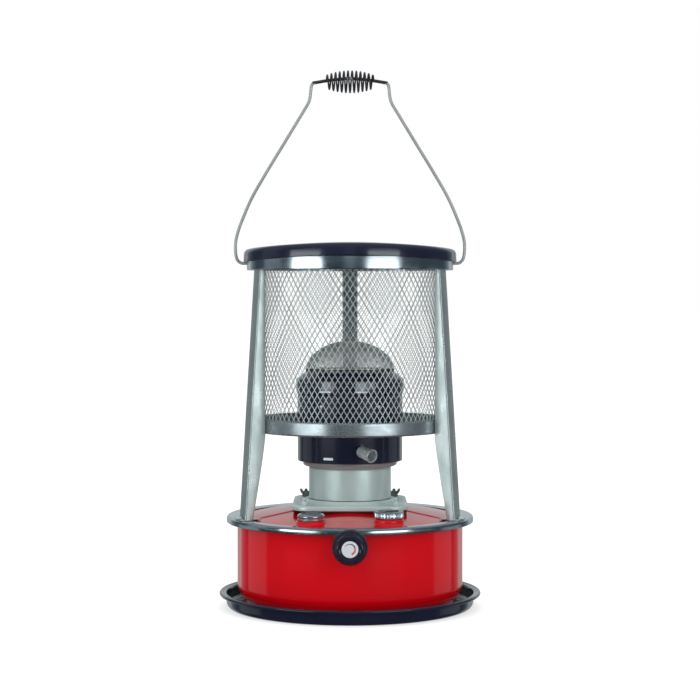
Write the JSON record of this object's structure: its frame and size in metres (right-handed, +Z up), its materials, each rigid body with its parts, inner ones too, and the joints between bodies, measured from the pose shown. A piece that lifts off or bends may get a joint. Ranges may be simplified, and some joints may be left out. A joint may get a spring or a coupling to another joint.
{
  "type": "wick kerosene heater",
  "caption": "Portable round wick heater with a red fuel tank in a black drip tray, a wick burner under a gauze-domed chimney, a mesh guard on channel legs, a round lid and a wire carrying bail.",
  "frame": {"origin": "centre of the drip tray's flat underside, on the floor", "axes": "+Z up along the tank, burner and guard axis; -Y towards the wick knob at the front; +X towards the filler cap side"},
  "size_m": [0.325, 0.3453, 0.6659],
  "materials": {
    "red_enamel": "high gloss red stove enamel",
    "black_enamel": "high gloss black stove enamel, slightly blue",
    "bright_plate": "bright nickel or chromium plate on pressed steel",
    "galvanised": "satin zinc plate, drawn lengthwise",
    "zinc_plate": "satin zinc plate with a slight green cast",
    "guard_wire": "bright zinc plated expanded metal",
    "brass_parts": "plain brass",
    "heat_steel": "heat-tinted stainless steel",
    "gauze": "fine woven wire, heat-dulled",
    "wick_cotton": "woven cotton and glass wick",
    "gasket_rubber": "black rubberised cork",
    "knob_plastic": "moulded black plastic",
    "dial_pale": "pale printed disc",
    "pointer_red": "painted pointer",
    "mica": "clear yellowish mica",
    "gauge_lens": "clear lens",
    "bail_steel": "galvanised wire",
    "grip_wire": "black lacquered spring wire"
  },
  "bodies": {
    "tray": {"drip_tray": "black_enamel"},
    "heater": {"tank_shell": "red_enamel", "tank_top": "red_enamel", "flange_ring": "bright_plate", "leg_left": "galvanised", "leg_right": "galvanised", "leg_rear": "galvanised", "leg_screw_left": "zinc_plate", "leg_screw_right": "zinc_plate", "leg_screw_rear": "zinc_plate", "lower_ring": "bright_plate", "guard_panel_1": "guard_wire", "guard_panel_2": "guard_wire", "guard_panel_3": "guard_wire", "guard_panel_4": "guard_wire", "guard_panel_5": "guard_wire", "guard_panel_6": "guard_wire", "guard_panel_7": "guard_wire", "guard_panel_8": "guard_wire", "top_band": "bright_plate", "top_plate": "black_enamel", "base_gasket": "gasket_rubber", "burner_base": "zinc_plate", "stud_front_left": "zinc_plate", "stud_front_right": "zinc_plate", "stud_rear_right": "zinc_plate", "stud_rear_left": "zinc_plate", "wing_nut_front_left": "zinc_plate", "wing_nut_front_right": "zinc_plate", "wing_nut_rear_right": "zinc_plate", "wing_nut_rear_left": "zinc_plate", "burner_collar": "zinc_plate", "wick_guide": "brass_parts", "draft_tube": "brass_parts", "flame_spreader": "heat_steel", "shaft_sleeve": "brass_parts", "shaft_bush": "zinc_plate", "gauge_bezel": "bright_plate", "gauge_glass": "gauge_lens", "gauge_dial": "dial_pale", "gauge_stem": "brass_parts"},
    "knob": {"wick_shaft": "brass_parts", "wick_knob": "knob_plastic", "knob_dial": "dial_pale"},
    "wick_lift": {"wick": "wick_cotton", "wick_holder": "brass_parts"},
    "chimney": {"chimney_shroud": "black_enamel", "gauze_dome": "gauze", "flame_tube_outer": "heat_steel", "flame_tube_inner": "heat_steel", "mica_window_left": "mica", "mica_window_right": "mica", "chimney_handle": "bright_plate", "handle_screw": "zinc_plate"},
    "cap_seal": {"cap_gasket": "gasket_rubber"},
    "cap": {"filler_cap": "bright_plate"},
    "float": {"float_arm": "brass_parts"},
    "pointer": {"gauge_pointer": "pointer_red"},
    "bail": {"bail_wire": "bail_steel"},
    "grip": {"bail_grip": "grip_wire"}
  },
  "joints": [
    {"name": "tank_lift", "type": "slide", "parent": "tray", "child": "heater", "axis": [0, 0, 1], "range_m": [0, 0.03]},
    {"name": "knob_turn", "type": "hinge", "parent": "heater", "child": "knob", "pos_m": [0, -0.16, 0.0945], "axis": [0, 1, 0], "range_deg": [0, 271]},
    {"name": "wick_rise", "type": "slide", "parent": "heater", "child": "wick_lift", "axis": [0, 0, 1], "range_m": [0, 0.0198]},
    {"name": "chimney_lift", "type": "slide", "parent": "heater", "child": "chimney", "axis": [0, 0, 1], "range_m": [0, 0.02]},
    {"name": "cap_rise", "type": "slide", "parent": "heater", "child": "cap_seal", "axis": [0, 0, 1], "range_m": [0, 0.0061]},
    {"name": "cap_turn", "type": "hinge", "parent": "cap_seal", "child": "cap", "pos_m": [0.0465, -0.105, 0.126], "axis": [0, 0, 1], "range_deg": [0, 720]},
    {"name": "float_swing", "type": "hinge", "parent": "heater", "child": "float", "pos_m": [-0.0465, -0.105, 0.104], "axis": [0.8, 0.6, 0], "range_deg": [0, 45]},
    {"name": "pointer_turn", "type": "hinge", "parent": "heater", "child": "pointer", "pos_m": [-0.0465, -0.105, 0.12], "axis": [0, 0, 1], "range_deg": [-181, 0]},
    {"name": "bail_swing", "type": "hinge", "parent": "heater", "child": "bail", "pos_m": [0, 0, 0.427], "axis": [1, 0, 0], "range_deg": [-130, 130]},
    {"name": "grip_spin", "type": "hinge", "parent": "bail", "child": "grip", "pos_m": [0, 0, 0.6516], "axis": [1, 0, 0], "continuous": true}
  ],
  "couplings": [
    {"joint": "knob_turn", "follows": "wick_rise", "rad_per_m": 238.1},
    {"joint": "cap_rise", "follows": "cap_turn", "m_per_rad": 0.00047746},
    {"joint": "pointer_turn", "follows": "float_swing", "ratio": -4}
  ]
}
